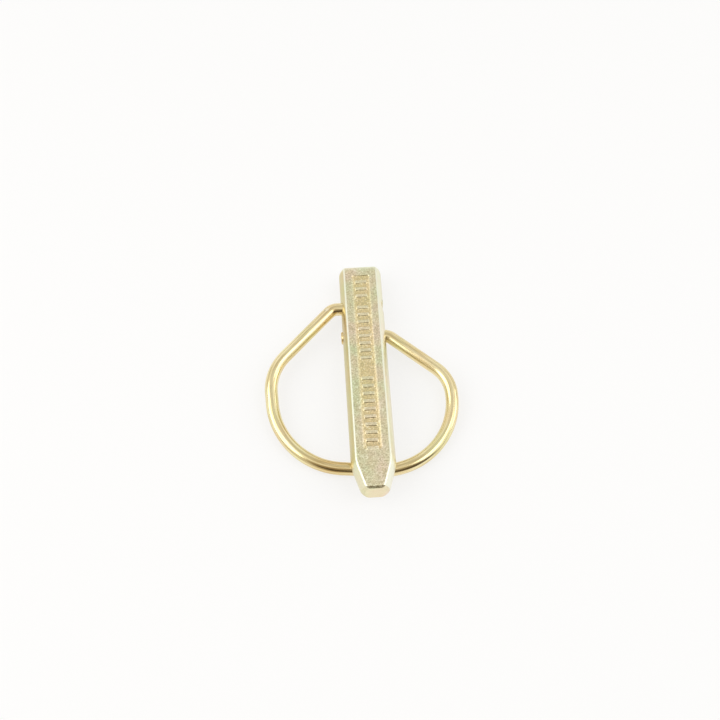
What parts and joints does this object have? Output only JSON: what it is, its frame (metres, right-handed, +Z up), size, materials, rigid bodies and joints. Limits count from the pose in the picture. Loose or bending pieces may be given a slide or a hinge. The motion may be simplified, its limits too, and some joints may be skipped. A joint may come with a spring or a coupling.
{
  "type": "linch pin",
  "caption": "Flat-sided tapered pin with a bent spring wire ring whose ends sit in two stepped cross holes; the ring swings over the head and snaps shut behind the pin.",
  "frame": {"origin": "middle of the part's footprint, on the floor that it lies on", "axes": "+Z up, the pin's tip points to -Y and its head to +Y, +X across the pin towards the ring's lower leg"},
  "size_m": [0.0442, 0.0568, 0.01],
  "materials": {
    "pin_plate": "satin yellow zinc plate on forged steel",
    "ring_plate": "bright yellow zinc plate on spring wire"
  },
  "bodies": {
    "pin": {"pin": "pin_plate"},
    "ring": {"spring_ring": "ring_plate"}
  },
  "joints": [
    {"name": "ring_swing", "type": "hinge", "parent": "pin", "child": "ring", "pos_m": [0.00148, 0.01438, 0.00404], "axis": [1, 0, 0], "range_deg": [0, 180], "stiffness_Nm_per_rad": 0.08, "deforming": ["spring_ring"]}
  ]
}
